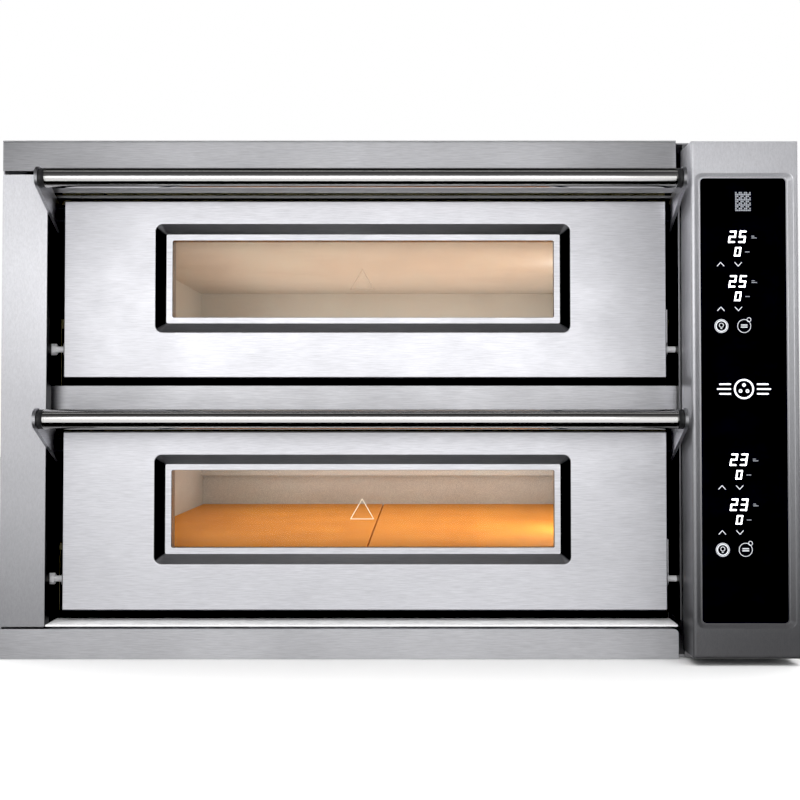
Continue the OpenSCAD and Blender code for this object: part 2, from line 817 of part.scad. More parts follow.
module casing_screws() {
    head_h = 1.5;
    head_r = 4.5;
    color("silver") {
        for (p = side_screws) {
            rod_x(left_x - head_h, left_x, p.x, p.y, head_r);
            rod_x(left_x, left_x + sheet_t, p.x, p.y, screw_r);
            rod_x(right_x, right_x + head_h, p.x, p.y, head_r);
            rod_x(right_x - sheet_t, right_x, p.x, p.y, screw_r);
        }
        for (p = rear_screws) {
            rod_y(p.x, rear_y, rear_y + head_h, p.y, head_r);
            rod_y(p.x, rear_y - sheet_t, rear_y, p.y, screw_r);
        }
    }
}

// ---------- doors: every module takes the height z of the door's bottom edge ----------

function window_a(z) = [window_x, z + window_up];
function window_b(z) = [window_x + window_w, z + window_up + window_h];
aperture_inset = bevel_w + lip_w;

// A block across the window, inset from the recess's mouth by the given amount
module window_block(z, inset, y0, y1) {
    a = window_a(z);
    b = window_b(z);
    block([a.x + inset, y0, a.y + inset], [b.x - inset, y1, b.y - inset]);
}

// Outer pan with its pressed window recess
module door_skin(z) {
    lip_back = door_y + bevel_d + pan_t;
    color(steel) difference() {
        union() {
            difference() {
                block([door_x, door_y, z], [door_end_x, door_y + pan_depth, z + door_h]);
                block([door_x + pan_t, door_y + pan_t, z + pan_t],
                      [door_end_x - pan_t, door_y + pan_depth + cut, z + door_h - pan_t]);
            }
            window_block(z, 0, door_y + pan_t / 2, lip_back);
        }
        bevelled_recess(window_a(z), window_b(z), door_y, bevel_d, bevel_w);
        window_block(z, aperture_inset, door_y, lip_back + cut);
        for (up = arm_stud_ups) rod_x(door_x - cut, door_end_x + cut, arm_stud_y, z + up, stud_r);
        for (up = lug_stud_ups) rod_x(door_x - cut, door_end_x + cut, pivot_y, z + up, stud_r);
    }
}

// Inner pan that closes the back of the door round the inner glass
module door_liner(z) {
    edge = 1;
    color(liner_steel) difference() {
        block([door_x + edge, door_y + pan_depth + fit, z + edge],
              [door_end_x - edge, door_back, z + door_h - edge]);
        block([door_x + edge + pan_t, door_y, z + edge + pan_t],
              [door_end_x - edge - pan_t, door_back - pan_t, z + door_h - edge - pan_t]);
        window_block(z, aperture_inset - 6, door_y, door_back + cut);
    }
}

module outer_glass(z) {
    y0 = door_y + bevel_d + pan_t;
    color("wheat", 0.6) window_block(z, aperture_inset - 8, y0, y0 + glass_t);
}

module inner_glass(z) {
    color("wheat", 0.6) window_block(z, aperture_inset - 16, door_back - pan_t - glass_t, door_back - pan_t);
}

// Frame that holds the two panes apart
module window_spacer(z) {
    y0 = door_y + bevel_d + pan_t + glass_t;
    y1 = door_back - pan_t - glass_t;
    color(dark_steel) difference() {
        window_block(z, aperture_inset - 8, y0, y1);
        window_block(z, aperture_inset - 3, y0 - cut, y1 + cut);
    }
}

module door_insulation(z) {
    inset = 4;
    color(wool) difference() {
        block([door_x + inset, door_y + 2, z + inset],
              [door_end_x - inset, door_back - 2, z + door_h - inset]);
        window_block(z, -2, door_y, door_back);
    }
}

// Three-cornered plate that reaches forward from the top of the door's side to the handle
module arm_outline(z) {
    back_y = door_y + arm_back;
    handle_z = z + door_h + handle_rise;
    ear_r = handle_d / 2 + 1.5;
    ear_a = [handle_y, handle_z] + ear_r * [-0.64, -0.77];
    ear_b = [handle_y, handle_z] + ear_r * [0.29, 0.957];
    polygon([
        [back_y, z + arm_tip_up], ear_a, [handle_y, handle_z], ear_b, [back_y, z + door_h - 3]
    ]);
    translate([handle_y, handle_z]) circle(ear_r);
}

// Upright lug on the side of the door that holds a pivot bush at its lower end
module lug_outline(z) {
    translate([pivot_y, z + pivot_up]) circle(lug_r);
    translate([pivot_y - lug_front, z + pivot_up]) square([lug_front + lug_r, lug_top_up - pivot_up]);
}

module door_arms(z) {
    handle_z = z + door_h + handle_rise;
    color(steel) {
        for (x = [left_arm_x, right_arm_x]) difference() {
            along_x(x, x + arm_t) arm_outline(z);
            rod_x(x - cut, x + arm_t + cut, handle_y, handle_z, stud_r);
            for (up = arm_stud_ups) rod_x(x - cut, x + arm_t + cut, arm_stud_y, z + up, stud_r);
        }
        for (x = lug_xs) difference() {
            along_x(x, x + arm_t) lug_outline(z);
            rod_x(x - cut, x + arm_t + cut, pivot_y, z + pivot_up, bush_r);
            for (up = lug_stud_ups) rod_x(x - cut, x + arm_t + cut, pivot_y, z + up, stud_r);
        }
    }
}

module pivot_bushes(z) {
    color("goldenrod") for (x = lug_xs) difference() {
        rod_x(x, x + arm_t, pivot_y, z + pivot_up, bush_r);
        rod_x(x - cut, x + arm_t + cut, pivot_y, z + pivot_up, pivot_r + running);
    }
}

// Studs that join the arms and lugs to the door pan, with a shoulder between each arm and the pan,
// and a screw through each arm and spacer into the end of the handle
module arm_studs(z) {
    handle_z = z + door_h + handle_rise;
    color("silver") {
        for (up = arm_stud_ups) {
            rod_x(left_arm_x, door_x + pan_t, arm_stud_y, z + up, stud_r);
            rod_x(left_arm_x + arm_t, door_x, arm_stud_y, z + up, shoulder_r);
            rod_x(door_end_x - pan_t, right_arm_x + arm_t, arm_stud_y, z + up, stud_r);
            rod_x(door_end_x, right_arm_x, arm_stud_y, z + up, shoulder_r);
        }
        for (up = lug_stud_ups) {
            rod_x(door_x - arm_t, door_x + pan_t, pivot_y, z + up, stud_r);
            rod_x(door_end_x - pan_t, door_end_x + arm_t, pivot_y, z + up, stud_r);
        }
        rod_x(left_arm_x, left_arm_x + arm_t + spacer_t + thread_l, handle_y, handle_z, stud_r);
        rod_x(right_arm_x - spacer_t - thread_l, right_arm_x + arm_t, handle_y, handle_z, stud_r);
    }
}

// Stainless tube closed by a threaded plug at each end
module handle_tube(z) {
    handle_z = z + door_h + handle_rise;
    x0 = left_arm_x + arm_t + spacer_t;
    x1 = right_arm_x - spacer_t;
    wall = 2;
    plug_l = 12;
    color(steel) difference() {
        rod_x(x0, x1, handle_y, handle_z, handle_d / 2);
        rod_x(x0 + plug_l, x1 - plug_l, handle_y, handle_z, handle_d / 2 - wall);
        rod_x(x0 - cut, x0 + thread_l, handle_y, handle_z, stud_r);
        rod_x(x1 - thread_l, x1 + cut, handle_y, handle_z, stud_r);
    }
}

module handle_spacers(z) {
    handle_z = z + door_h + handle_rise;
    color("black") for (x = [left_arm_x + arm_t, right_arm_x - spacer_t]) difference() {
        rod_x(x, x + spacer_t, handle_y, handle_z, handle_d / 2);
        rod_x(x - cut, x + spacer_t + cut, handle_y, handle_z, stud_r);
    }
}

// ---------- assembly ----------

base_tray();
left_side_panel();
right_side_panel();
top_cover();
rear_panel();
top_fascia();
upper_header();
middle_fascia();
bottom_fascia();
drip_ledge();
left_pillar();
hinge_jambs();
control_column();
touch_glass();
display_board();
power_board();
power_relays();
terminal_block();
bay_partition();
fan_frame();
fan_rotor();
cable_gland();
flue_spigots();
flue_collars();
upper_damper();
lower_damper();
cabinet_insulation();
lower_chamber_liner();
upper_chamber_liner();
mouth_frames();
baking_stones();
heating_elements();
lamp_housings();
lamp_lenses();
lamp_bulbs();
frame_posts();
pivot_pins();
casing_screws();
door_skin(decks[1]);  // upper_door_skin
door_liner(decks[1]);  // upper_door_liner
outer_glass(decks[1]);  // upper_outer_glass
inner_glass(decks[1]);  // upper_inner_glass
window_spacer(decks[1]);  // upper_window_spacer
door_insulation(decks[1]);  // upper_door_insulation
door_arms(decks[1]);  // upper_door_arms
handle_tube(decks[1]);  // upper_handle_tube
handle_spacers(decks[1]);  // upper_handle_spacers
pivot_bushes(decks[1]);  // upper_pivot_bushes
arm_studs(decks[1]);  // upper_arm_studs
door_skin(decks[0]);  // lower_door_skin
door_liner(decks[0]);  // lower_door_liner
outer_glass(decks[0]);  // lower_outer_glass
inner_glass(decks[0]);  // lower_inner_glass
window_spacer(decks[0]);  // lower_window_spacer
door_insulation(decks[0]);  // lower_door_insulation
door_arms(decks[0]);  // lower_door_arms
handle_tube(decks[0]);  // lower_handle_tube
handle_spacers(decks[0]);  // lower_handle_spacers
pivot_bushes(decks[0]);  // lower_pivot_bushes
arm_studs(decks[0]);  // lower_arm_studs
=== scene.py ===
import json
import math

import bmesh
import bpy
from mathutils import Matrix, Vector


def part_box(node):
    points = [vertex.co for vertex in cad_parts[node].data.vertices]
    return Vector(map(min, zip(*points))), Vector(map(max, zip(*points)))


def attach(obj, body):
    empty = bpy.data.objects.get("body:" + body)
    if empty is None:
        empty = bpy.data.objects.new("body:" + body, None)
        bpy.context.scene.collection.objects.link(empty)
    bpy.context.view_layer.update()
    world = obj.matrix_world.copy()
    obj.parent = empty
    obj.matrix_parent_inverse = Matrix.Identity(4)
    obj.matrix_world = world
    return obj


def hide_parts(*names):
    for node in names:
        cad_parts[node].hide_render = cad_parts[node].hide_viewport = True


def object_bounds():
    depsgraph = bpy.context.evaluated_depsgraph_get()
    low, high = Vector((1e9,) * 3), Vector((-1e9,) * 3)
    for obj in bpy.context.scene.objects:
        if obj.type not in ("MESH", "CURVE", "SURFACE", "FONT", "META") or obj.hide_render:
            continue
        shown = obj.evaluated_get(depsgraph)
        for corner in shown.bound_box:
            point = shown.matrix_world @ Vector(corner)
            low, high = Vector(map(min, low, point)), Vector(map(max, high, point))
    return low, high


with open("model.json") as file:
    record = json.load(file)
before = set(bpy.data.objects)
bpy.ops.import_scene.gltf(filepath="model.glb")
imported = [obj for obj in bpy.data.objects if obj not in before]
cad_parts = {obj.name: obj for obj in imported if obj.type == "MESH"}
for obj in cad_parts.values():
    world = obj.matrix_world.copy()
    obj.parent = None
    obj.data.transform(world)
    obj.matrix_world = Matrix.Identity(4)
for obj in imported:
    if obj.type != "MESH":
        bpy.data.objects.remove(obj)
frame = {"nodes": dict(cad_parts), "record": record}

NODES = frame["nodes"]
SLOT = {row["node"]: row["material_slot"] for row in frame["record"]["subparts"]}
BODY = {node: body for body, nodes in frame["record"]["behaviour"]["bodies"].items() for node in nodes}
DECKS = ("upper", "lower")
CAD_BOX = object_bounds()
MM = 0.001


# ---------- node materials ----------

class Shader:
    """A Principled material and short calls that add nodes to it."""

    def __init__(self, name):
        self.material = bpy.data.materials.new(name)
        self.material.use_nodes = True
        self.tree = self.material.node_tree
        self.bsdf = self.tree.nodes["Principled BSDF"]
        self.place = self.add("TexCoord").outputs["Object"]

    def add(self, kind, settings=None, sockets=None):
        node = self.tree.nodes.new("ShaderNode" + kind)
        for key, value in (settings or {}).items():
            setattr(node, key, value)
        for key, value in (sockets or {}).items():
            self.feed(node.inputs[key], value)
        return node

    def feed(self, socket, value):
        if isinstance(value, bpy.types.NodeSocket):
            self.tree.links.new(value, socket)
        else:
            socket.default_value = value

    def set(self, **values):
        for key, value in values.items():
            self.feed(self.bsdf.inputs[key.replace("_", " ")], value)

    def noise(self, scale, detail=3.0, rough=0.6):
        """Noise over the object's own space; scale is cycles per metre along X, Y and Z."""
        stretched = self.add("Mapping", sockets={"Vector": self.place, "Scale": scale})
        return self.add("TexNoise", sockets={
            "Vector": stretched.outputs["Vector"], "Scale": 1.0, "Detail": detail, "Roughness": rough,
        }).outputs["Fac"]

    def span(self, value, low, high, start=0.0, end=1.0):
        """Maps start..end of a value to low..high, clamped."""
        return self.add("MapRange", sockets={
            "Value": value, "From Min": start, "From Max": end, "To Min": low, "To Max": high,
        }).outputs["Result"]

    def times(self, a, b):
        return self.add("Math", {"operation": "MULTIPLY"}, {0: a, 1: b}).outputs[0]

    def tint(self, colour, factor):
        """A colour scaled by a varying factor."""
        return self.add("VectorMath", {"operation": "SCALE"}, {0: colour, "Scale": factor}).outputs[0]

    def blend(self, factor, a, b):
        mix = self.add("Mix", {"data_type": "RGBA"})
        self.feed(mix.inputs[0], factor)
        self.feed(mix.inputs[6], a)
        self.feed(mix.inputs[7], b)
        return mix.outputs[2]

    def bump(self, height, strength, distance):
        normal = self.add("Bump", sockets={"Height": height, "Strength": strength, "Distance": distance})
        self.feed(self.bsdf.inputs["Normal"], normal.outputs["Normal"])


# Grain of a brushed or rolled surface, in cycles per metre along X, Y and Z.
ALONG_X = (45.0, 45.0, 900.0)
ALONG_Z = (900.0, 900.0, 45.0)
ALONG_FLAT = (45.0, 900.0, 900.0)
ALONG_TUBE = (20.0, 1400.0, 1400.0)
UPRIGHT = (700.0, 700.0, 260.0)
PLATED = (400.0, 400.0, 400.0)
CAST = (500.0, 500.0, 500.0)

PATCH_SCALE = (5.0, 5.0, 7.0)
SMEAR_SCALE = (16.0, 16.0, 26.0)
FACING_SHADE_LEAN = (0.2, 0.5)
SHADED_FOOT_HEIGHTS = (0.04, 0.62)


def brushed_steel(name, colour, grain, rough, aniso, turned=False, streak=0.16, blotch=0.035, metal=1.0,
                  facing_shade=(), foot=1.0):
    """Sheet brushed along the long axis of its grain, with faint smears left from wiping.

    A list of (axis, sign, level) paints shade on the faces turned that way, down to that tone level over the
    lean given.
    The foot level paints shade towards the bottom: the tone level at the lower of the foot heights, back to
    full at the upper.
    """
    s = Shader(name)
    lines = s.noise(grain, 4.0, 0.7)
    patches = s.noise(PATCH_SCALE, 3.0, 0.55)
    smears = s.noise(SMEAR_SCALE, 5.0, 0.65)
    tone = s.times(s.span(lines, 1 - streak, 1 + streak, 0.25, 0.75),
                   s.span(patches, 1 - blotch, 1 + blotch, 0.3, 0.7))
    # Painted shade: faces turned along an axis are darkened.
    if facing_shade:
        facing = s.add("SeparateXYZ", sockets={0: s.add("TexCoord").outputs["Normal"]})
        for axis, sign, level in facing_shade:
            tone = s.times(tone, s.span(s.times(facing.outputs[axis], sign), 1.0, level, *FACING_SHADE_LEAN))
    # Painted shade: darker towards the bottom.
    if foot != 1.0:
        height = s.add("SeparateXYZ", sockets={0: s.place}).outputs["Z"]
        tone = s.times(tone, s.span(height, foot, 1.0, *SHADED_FOOT_HEIGHTS))
    s.set(Base_Color=s.tint(colour, tone), Metallic=metal, Anisotropic=aniso,
          Anisotropic_Rotation=0.25 if turned else 0.0,
          Roughness=s.span(s.times(smears, s.span(lines, 0.85, 1.15)), rough * 0.92, rough * 1.1, 0.3, 0.75))
    s.set(Tangent=s.add("Tangent", {"direction_type": "RADIAL", "axis": "Z"}).outputs["Tangent"])
    s.bump(lines, 0.12, 0.00012)
    return s.material


# Painted shade: the doors' faces turned left or right are darkened almost to black, those turned up or down
# to half.
door_steel = brushed_steel("door_steel", (0.79, 0.79, 0.83), ALONG_X, 0.36, 0.65, turned=True,
                           facing_shade=(("X", 1, 0.03), ("X", -1, 0.03), ("Z", 1, 0.5), ("Z", -1, 0.5)))
fascia_steel = brushed_steel("fascia_steel", (0.75, 0.75, 0.78), ALONG_X, 0.42, 0.7, turned=True, blotch=0.09)
# Painted shade: the pillar's faces turned right, into the door gap, are darkened almost to black, and it
# darkens towards the bottom.
pillar_steel = brushed_steel("pillar_steel", (0.88, 0.88, 0.92), UPRIGHT, 0.38, 0.2, streak=0.10, metal=0.6,
                             facing_shade=(("X", 1, 0.02),), foot=0.36)
# Painted shade: the jambs' faces turned left or right are darkened almost to black, and they darken towards
# the bottom.
jamb_steel = brushed_steel("jamb_steel", (0.72, 0.72, 0.75), UPRIGHT, 0.34, 0.2, streak=0.10,
                           facing_shade=(("X", 1, 0.02), ("X", -1, 0.02)), foot=0.36)
# Painted shade: the column darkens strongly towards the bottom.
column_steel = brushed_steel("column_steel", (0.82, 0.82, 0.86), UPRIGHT, 0.36, 0.2, streak=0.10, metal=0.68,
                             foot=0.16)
# Painted light: a whiter, barely metallic copy of the zinc, so that the pivot nuts read bright in their gap.
nut_painted_bright = brushed_steel("nut_painted_bright", (0.95, 0.95, 0.97), PLATED, 0.4, 0.0, streak=0.06, metal=0.1)
# Painted light: near-white and not metallic, so that the drip ledge reads bright under the door.
ledge_painted_bright = brushed_steel("ledge_painted_bright", (0.97, 0.97, 0.98), ALONG_X, 0.55, 0.3, turned=True, metal=0.0)
# Painted shade: a near-black sheet for the mouth frames and arm studs, which sit in dark gaps.
painted_gap_shade = brushed_steel("painted_gap_shade", (0.02, 0.02, 0.022), ALONG_Z, 0.6, 0.2)
panel_steel = brushed_steel("panel_steel", (0.52, 0.52, 0.54), ALONG_X, 0.42, 0.5, turned=True, metal=0.6)
top_steel = brushed_steel("top_steel", (0.50, 0.50, 0.52), ALONG_FLAT, 0.42, 0.3, metal=0.6)
liner_steel = brushed_steel("liner_steel", (0.66, 0.62, 0.57), ALONG_X, 0.36, 0.5, turned=True, metal=0.85,
                            blotch=0.12)
handle_steel = brushed_steel("handle_steel", (0.82, 0.81, 0.80), ALONG_TUBE, 0.13, 0.0, streak=0.05,
                             blotch=0.04)
inner_steel = brushed_steel("inner_steel", (0.34, 0.34, 0.35), ALONG_X, 0.42, 0.3, turned=True)
zinc = brushed_steel("bright_zinc", (0.86, 0.86, 0.88), PLATED, 0.34, 0.0, streak=0.06, metal=0.75)
brass = brushed_steel("bush_brass", (0.72, 0.55, 0.26), CAST, 0.28, 0.0, streak=0.08)
sink_alloy = brushed_steel("heat_sink", (0.74, 0.74, 0.76), ALONG_Z, 0.38, 0.2)


def chamber_steel():
    """Liner sheet dulled and warmed by heat."""
    s = Shader("chamber_steel")
    grain = s.noise((420.0, 420.0, 420.0), 3.0)
    bloom = s.noise((6.0, 6.0, 9.0), 4.0, 0.6)
    colour = s.blend(s.span(bloom, 0.0, 1.0, 0.35, 0.7), (0.70, 0.735, 0.74, 1), (0.65, 0.67, 0.665, 1))
    s.set(Base_Color=s.tint(colour, s.span(grain, 0.86, 1.12, 0.3, 0.7)), Metallic=0.1,
          Roughness=s.span(bloom, 0.5, 0.68))
    s.bump(grain, 0.1, 0.0002)
    return s.material


def baking_stone():
    """Fireclay: warm and grainy, with pores and darker bake marks."""
    s = Shader("baking_stone")
    grit = s.noise((420.0, 420.0, 420.0), 3.0, 0.6)
    marks = s.noise((9.0, 9.0, 9.0), 5.0, 0.62)
    pores = s.add("TexVoronoi", {"feature": "F1"}, {"Vector": s.place, "Scale": 260.0}).outputs["Distance"]
    colour = s.blend(s.span(marks, 0.0, 1.0, 0.4, 0.72), (0.86, 0.345, 0.03, 1), (0.77, 0.29, 0.022, 1))
    s.set(Base_Color=s.tint(colour, s.span(grit, 0.86, 1.12, 0.3, 0.7)), Roughness=s.span(grit, 0.8, 0.95))
    s.bump(s.times(s.span(pores, 0.2, 1.0, 0.0, 0.35), s.span(grit, 0.7, 1.0)), 0.35, 0.0006)
    return s.material


def mineral_wool():
    """Matted yellow fibre in soft clumps."""
    s = Shader("mineral_wool")
    fibre = s.noise((900.0, 120.0, 120.0), 5.0, 0.8)
    clump = s.noise((30.0, 30.0, 30.0), 3.0)
    colour = s.blend(s.span(clump, 0.0, 1.0, 0.3, 0.7), (0.62, 0.54, 0.30, 1), (0.78, 0.71, 0.46, 1))
    s.set(Base_Color=s.tint(colour, s.span(fibre, 0.75, 1.15, 0.3, 0.7)), Roughness=0.95)
    s.bump(fibre, 0.6, 0.001)
    return s.material


def moulded(name, colour, rough):
    """Moulded plastic with a fine spark-eroded texture."""
    s = Shader(name)
    pits = s.noise((700.0, 700.0, 700.0), 2.0, 0.5)
    wear = s.noise((20.0, 20.0, 20.0), 3.0)
    s.set(Base_Color=s.tint(colour, s.span(wear, 0.85, 1.2, 0.3, 0.7)),
          Roughness=s.span(pits, rough * 0.85, min(rough * 1.15, 1.0)))
    s.bump(pits, 0.15, 0.0002)
    return s.material


def circuit_board():
    """Solder resist over faint copper tracks."""
    s = Shader("circuit_board")
    upright = s.add("Mapping", sockets={"Vector": s.place, "Rotation": (math.pi / 2, 0, 0)})
    tracks = s.add("TexBrick", {"offset": 0.5}, {
        "Vector": upright.outputs["Vector"],
        "Color1": (0.02, 0.16, 0.07, 1), "Color2": (0.02, 0.13, 0.06, 1), "Mortar": (0.10, 0.33, 0.14, 1),
        "Scale": 60.0, "Mortar Size": 0.03})
    s.set(Base_Color=tracks.outputs["Color"], Roughness=s.span(s.noise((300.0,) * 3), 0.3, 0.45))
    return s.material


def element_sheath():
    """Heating rod, scaled and browned by use."""
    s = Shader("element_sheath")
    scale = s.noise((60.0, 300.0, 300.0), 4.0, 0.7)
    colour = s.blend(s.span(scale, 0.0, 1.0, 0.35, 0.65), (0.10, 0.095, 0.09, 1), (0.26, 0.22, 0.19, 1))
    s.set(Base_Color=colour, Metallic=0.7, Roughness=s.span(scale, 0.45, 0.7))
    s.bump(scale, 0.2, 0.0003)
    return s.material


def window_glass():
    """Toughened glass with faint smears; a low IOR keeps a door's four surfaces from veiling the view in."""
    s = Shader("window_glass")
    film = s.noise((14.0, 14.0, 22.0), 4.0, 0.6)
    s.set(Base_Color=s.tint((1.0, 0.97, 0.92), s.span(film, 0.97, 1.03, 0.3, 0.7)), Transmission_Weight=1.0,
          IOR=1.12, Specular_IOR_Level=0.08, Roughness=s.span(film, 0.0, 0.015, 0.55, 0.8))
    return s.material


def black_glass():
    """Touch glass printed black on its back, with a film of finger marks."""
    s = Shader("black_glass")
    film = s.noise((18.0, 18.0, 30.0), 4.0, 0.6)
    s.set(Base_Color=s.tint((0.0022, 0.0022, 0.0042), s.span(film, 0.8, 1.3, 0.3, 0.7)), IOR=1.45,
          Specular_IOR_Level=0.03, Roughness=s.span(film, 0.06, 0.14))
    return s.material


def glowing(name, colour, power):
    """Marks behind the glass that give off light, a little uneven as real legends are: lit readouts, and
    printed marks whose glow is painted light.
    """
    s = Shader(name)
    even = s.noise((300.0, 300.0, 300.0), 2.0)
    s.set(Base_Color=s.tint(colour, s.span(even, 0.9, 1.0)), Roughness=0.5,
          Emission_Color=s.tint(colour, s.span(even, 0.92, 1.05)), Emission_Strength=power)
    return s.material


def lamp_glass():
    """Ribbed lamp cover, lit from behind."""
    s = Shader("lamp_glass")
    ribs = s.add("TexWave", {"bands_direction": "Z"}, {"Vector": s.place, "Scale": 120.0}).outputs["Fac"]
    s.set(Base_Color=(0.98, 0.90, 0.72, 1), Roughness=0.35,
          Emission_Color=s.tint((1.0, 0.80, 0.52), s.span(ribs, 0.75, 1.1)), Emission_Strength=3.0)
    s.bump(ribs, 0.5, 0.0008)
    return s.material


# A node takes its own finish from BY_NODE, or else its record slot's from BY_SLOT.
BY_SLOT = {
    "casing_steel": fascia_steel, "door_steel": door_steel, "handle_steel": handle_steel,
    "inner_steel": inner_steel, "chamber_steel": chamber_steel(), "black_glass": black_glass(),
    "window_glass": window_glass(), "lamp_glass": lamp_glass(),
    "baking_stone": baking_stone(), "mineral_wool": mineral_wool(), "circuit_board": circuit_board(),
    "black_plastic": moulded("black_plastic", (0.012, 0.012, 0.013), 0.5),
    "white_plastic": moulded("white_plastic", (0.78, 0.76, 0.70), 0.45),
    "heat_sink": sink_alloy, "element_sheath": element_sheath(), "bright_zinc": zinc, "bush_brass": brass,
}
BY_NODE = {
    "left_pillar": pillar_steel, "control_column": column_steel, "left_side_panel": panel_steel,
    "right_side_panel": panel_steel, "rear_panel": panel_steel, "top_cover": top_steel,
    "base_tray": top_steel, "hinge_jambs": jamb_steel, "drip_ledge": ledge_painted_bright,
    "upper_door_liner": liner_steel, "lower_door_liner": liner_steel,
    # Painted shade: the mouth frames and arm studs take the near-black sheet.
    "pivot_pins": nut_painted_bright, "mouth_frames": painted_gap_shade,
    "upper_arm_studs": painted_gap_shade, "lower_arm_studs": painted_gap_shade,
}


def material_of(node):
    """The finish of a CAD node."""
    return BY_NODE.get(node) or BY_SLOT[SLOT[node]]


def dress(obj, material):
    obj.data.materials.clear()
    obj.data.materials.append(material)


for node_name, node_object in NODES.items():
    dress(node_object, material_of(node_name))


# ---------- mesh making ----------

def finished(name, bm, node, sharp=32.0, material=None):
    """Turns a bmesh into a piece that rides with a CAD node's body and takes its finish.

    Edges that turn by more than sharp degrees stay crisp.
    """
    bmesh.ops.recalc_face_normals(bm, faces=bm.faces)
    mesh = bpy.data.meshes.new(name)
    bm.to_mesh(mesh)
    bm.free()
    for face in mesh.polygons:
        face.use_smooth = True
    mesh.set_sharp_from_angle(angle=math.radians(sharp))
    obj = bpy.data.objects.new(name, mesh)
    bpy.context.scene.collection.objects.link(obj)
    weighted = obj.modifiers.new("even_normals", "WEIGHTED_NORMAL")
    weighted.keep_sharp = True
    dress(obj, material or material_of(node))
    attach(obj, BODY[node])
    return obj


CORNER_STEPS = 6


def ring(lo, hi, radius, y):
    """A rectangle with round corners in the plane at y, as points in order."""
    corners = ((hi[0] - radius, hi[1] - radius), (lo[0] + radius, hi[1] - radius),
               (lo[0] + radius, lo[1] + radius), (hi[0] - radius, lo[1] + radius))
    points = []
    for quarter, (x, z) in enumerate(corners):
        for i in range(CORNER_STEPS + 1):
            a = math.radians(90 * (quarter + i / CORNER_STEPS))
            points.append((x + radius * math.cos(a), y, z + radius * math.sin(a)))
    return points


def loft(rings):
    """Skins a closed series of rings that all have the same number of points."""
    bm = bmesh.new()
    loops = [[bm.verts.new(p) for p in points] for points in rings]
    count = len(loops[0])
    for a, b in zip(loops, loops[1:] + loops[:1]):
        for i in range(count):
            j = (i + 1) % count
            bm.faces.new((a[i], a[j], b[j], b[i]))
    return bm


def filleted(points, steps):
    """A path of (u, v, radius) with its corners turned into arcs of so many steps."""
    path = []
    for i, (u, v, radius) in enumerate(points):
        here = Vector((u, v))
        if not radius:
            path.append(here)
            continue
        back = (Vector(points[i - 1][:2]) - here).normalized()
        on = (Vector(points[i + 1][:2]) - here).normalized()
        half = back.angle(on) / 2
        centre = here + (back + on).normalized() * (radius / math.sin(half))
        start = here + back * (radius / math.tan(half)) - centre
        end = here + on * (radius / math.tan(half)) - centre
        first = math.atan2(start.y, start.x)
        sweep = (math.atan2(end.y, end.x) - first + math.pi) % (2 * math.pi) - math.pi
        for k in range(steps + 1):
            a = first + sweep * k / steps
            path.append(centre + Vector((math.cos(a), math.sin(a))) * radius)
    return path


def lathe_x(profile, y, z, sides):
    """Turns a closed profile of (x, radius) about the line along X at y, z."""
    turns = [2 * math.pi * i / sides for i in range(sides)]
    return loft([[(x, y + radius * math.cos(a), z + radius * math.sin(a)) for a in turns]
                 for x, radius in profile])


MOUTH_R = 9 * MM


def outline_rings(lo, hi, path, radius):
    """Rings that follow a box's front outline, inset by u and set back by v along a path of (u, v)."""
    return [ring((lo.x + u, lo.z + u), (hi.x - u, hi.z - u), radius, lo.y + v) for u, v in path]


def mouth_rings(lo, hi, front, path, run, tight, squash=1.0):
    """Rings down into a recess whose mouth runs from lo to hi; squash scales the inset along Z.

    The corner radius shrinks from MOUTH_R to tight over the run of the bevel, and grows outside the mouth.
    """
    rings = []
    for u, v in path:
        share = min(max(u / run, 0.0), 1.0)
        radius = MOUTH_R + (tight - MOUTH_R) * share + max(-u, 0.0)
        rise = u * squash
        rings.append(ring((lo[0] + u, lo[1] + rise), (hi[0] - u, hi[1] - rise), radius, front + v))
    return rings


MERGE = 1e-6
FLAT_DEGREES = 0.5
CORNER_DEGREES = 38.0
SHORTEST_EDGE = 4 * MM


def softened(node, width):
    """A copy of a CAD node whose longer edges are broken by a small round, as folded or cut metal is."""
    bm = bmesh.new()
    bm.from_mesh(NODES[node].data)
    for layers in (bm.loops.layers.float_vector, bm.loops.layers.uv):
        for key in list(layers.keys()):
            layers.remove(layers[key])
    bmesh.ops.remove_doubles(bm, verts=bm.verts, dist=MERGE)
    bmesh.ops.dissolve_limit(bm, angle_limit=math.radians(FLAT_DEGREES), verts=bm.verts, edges=bm.edges)
    edges = [e for e in bm.edges if len(e.link_faces) == 2 and e.calc_length() > SHORTEST_EDGE
             and e.calc_face_angle(0.0) > math.radians(CORNER_DEGREES)]
    bmesh.ops.bevel(bm, geom=edges, offset=width, offset_type="OFFSET", segments=2, profile=0.6,
                    affect="EDGES", clamp_overlap=True)
    obj = finished(node + "_formed", bm, node)
    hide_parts(node)
    return obj


# ---------- doors: pressed skins ----------

BEVEL_W = 12.5 * MM
BEVEL_D = 10 * MM
LIP_W = 8 * MM
SKIN_T = 1.5 * MM
GLASS_R = 2.4 * MM
REACH = 20 * MM      # how far the outer rings run in over the flat of the sheet
LAND = 8 * MM        # how far the mouth's rings start outside the mouth

